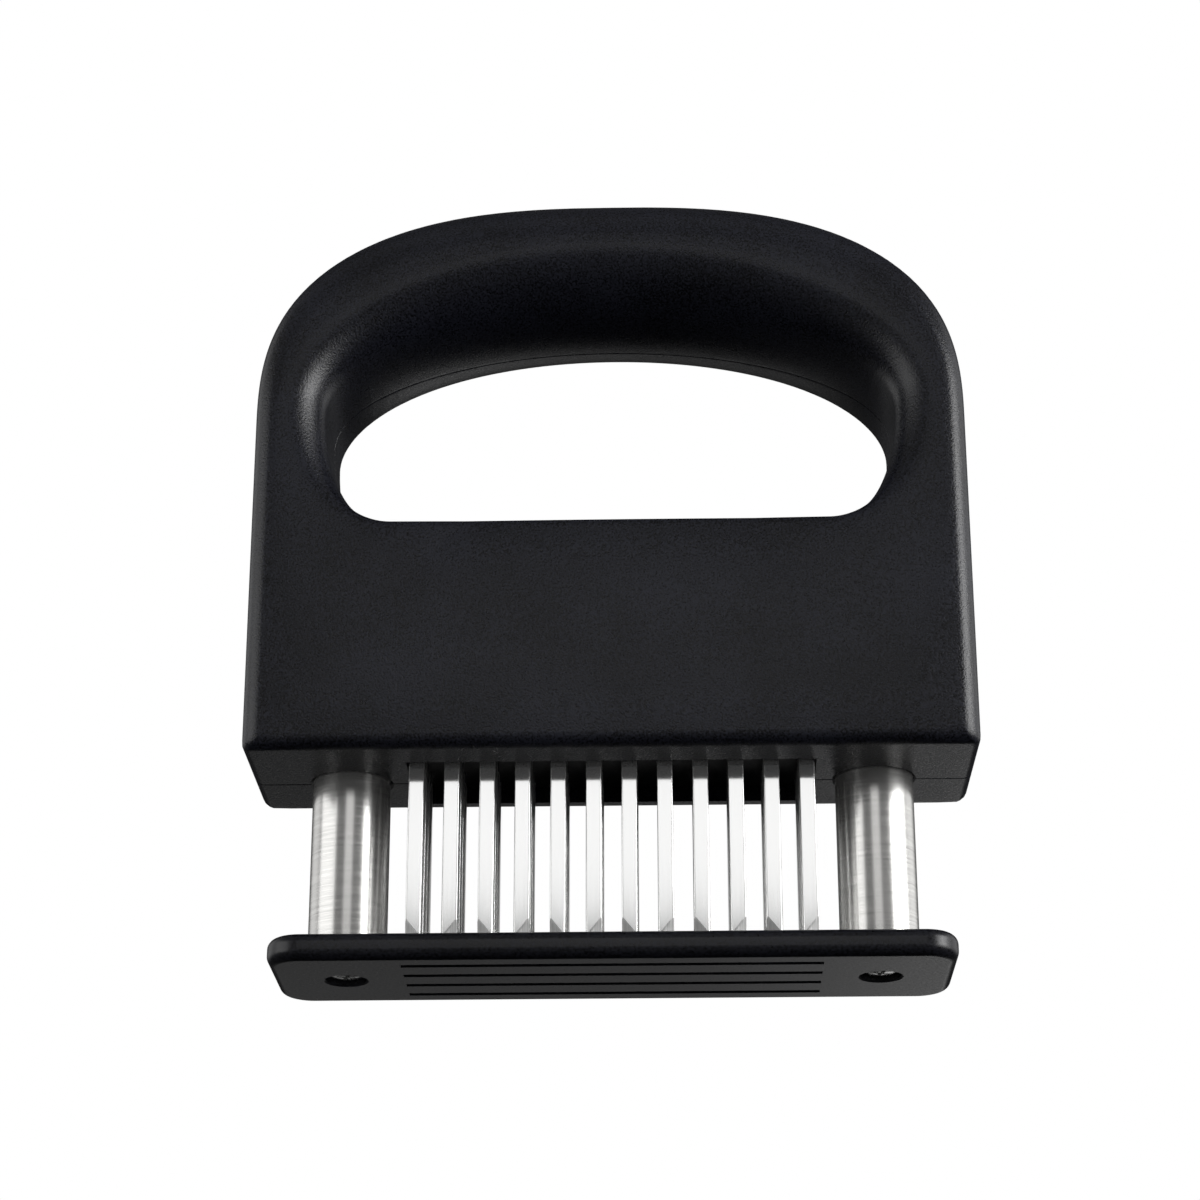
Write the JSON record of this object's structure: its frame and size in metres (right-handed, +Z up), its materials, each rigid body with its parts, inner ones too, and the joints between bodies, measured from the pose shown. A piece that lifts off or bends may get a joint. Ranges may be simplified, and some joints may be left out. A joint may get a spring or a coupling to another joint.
{
  "type": "blade meat tenderizer",
  "caption": "Hand-held meat tenderizer: a black plastic head with a grip above a finger loop presses rows of slim steel blades through a slotted foot plate on two sprung steel posts.",
  "frame": {"origin": "centre of the base plate's underside, in the plane of the two posts", "axes": "+Z up along the stroke, +X along the handle, -Y towards the front of the head"},
  "size_m": [0.1082, 0.0315, 0.1245],
  "materials": {
    "handle_plastic": "fine spark-eroded texture, black ABS",
    "base_plastic": "satin moulded black ABS",
    "carrier_plastic": "moulded black plastic",
    "post_steel": "drawn stainless tube with fine lengthwise brushing",
    "collar_steel": "turned steel",
    "plug_aluminium": "turned",
    "screw_steel": "bright nickel plating",
    "spring_steel": "drawn spring wire",
    "blade_steel": "polished stainless strip"
  },
  "bodies": {
    "foot": {"base_plate": "base_plastic", "base_screw_left": "screw_steel", "guide_post_left": "post_steel", "post_plug_left": "plug_aluminium", "stop_collar_left": "collar_steel", "return_spring_left": "spring_steel", "base_screw_right": "screw_steel", "guide_post_right": "post_steel", "post_plug_right": "plug_aluminium", "stop_collar_right": "collar_steel", "return_spring_right": "spring_steel"},
    "head": {"front_shell": "handle_plastic", "rear_shell": "handle_plastic", "blade_carrier": "carrier_plastic", "blade_clamp_plate": "carrier_plastic", "clamp_screws": "screw_steel", "twin_blade_row1_pair1": "blade_steel", "twin_blade_row1_pair2": "blade_steel", "twin_blade_row1_pair3": "blade_steel", "twin_blade_row1_pair4": "blade_steel", "twin_blade_row1_pair5": "blade_steel", "twin_blade_row1_pair6": "blade_steel", "twin_blade_row2_pair1": "blade_steel", "twin_blade_row2_pair2": "blade_steel", "twin_blade_row2_pair3": "blade_steel", "twin_blade_row2_pair4": "blade_steel", "twin_blade_row2_pair5": "blade_steel", "twin_blade_row2_pair6": "blade_steel", "twin_blade_row3_pair1": "blade_steel", "twin_blade_row3_pair2": "blade_steel", "twin_blade_row3_pair3": "blade_steel", "twin_blade_row3_pair4": "blade_steel", "twin_blade_row3_pair5": "blade_steel", "twin_blade_row3_pair6": "blade_steel", "twin_blade_row4_pair1": "blade_steel", "twin_blade_row4_pair2": "blade_steel", "twin_blade_row4_pair3": "blade_steel", "twin_blade_row4_pair4": "blade_steel", "twin_blade_row4_pair5": "blade_steel", "twin_blade_row4_pair6": "blade_steel"}
  },
  "joints": [
    {"name": "press_stroke", "type": "slide", "parent": "foot", "child": "head", "axis": [0, 0, -1], "range_m": [0, 0.025], "stiffness_N_per_m": 600, "springref_m": -0.012, "deforming": ["return_spring_left", "return_spring_right"]}
  ]
}
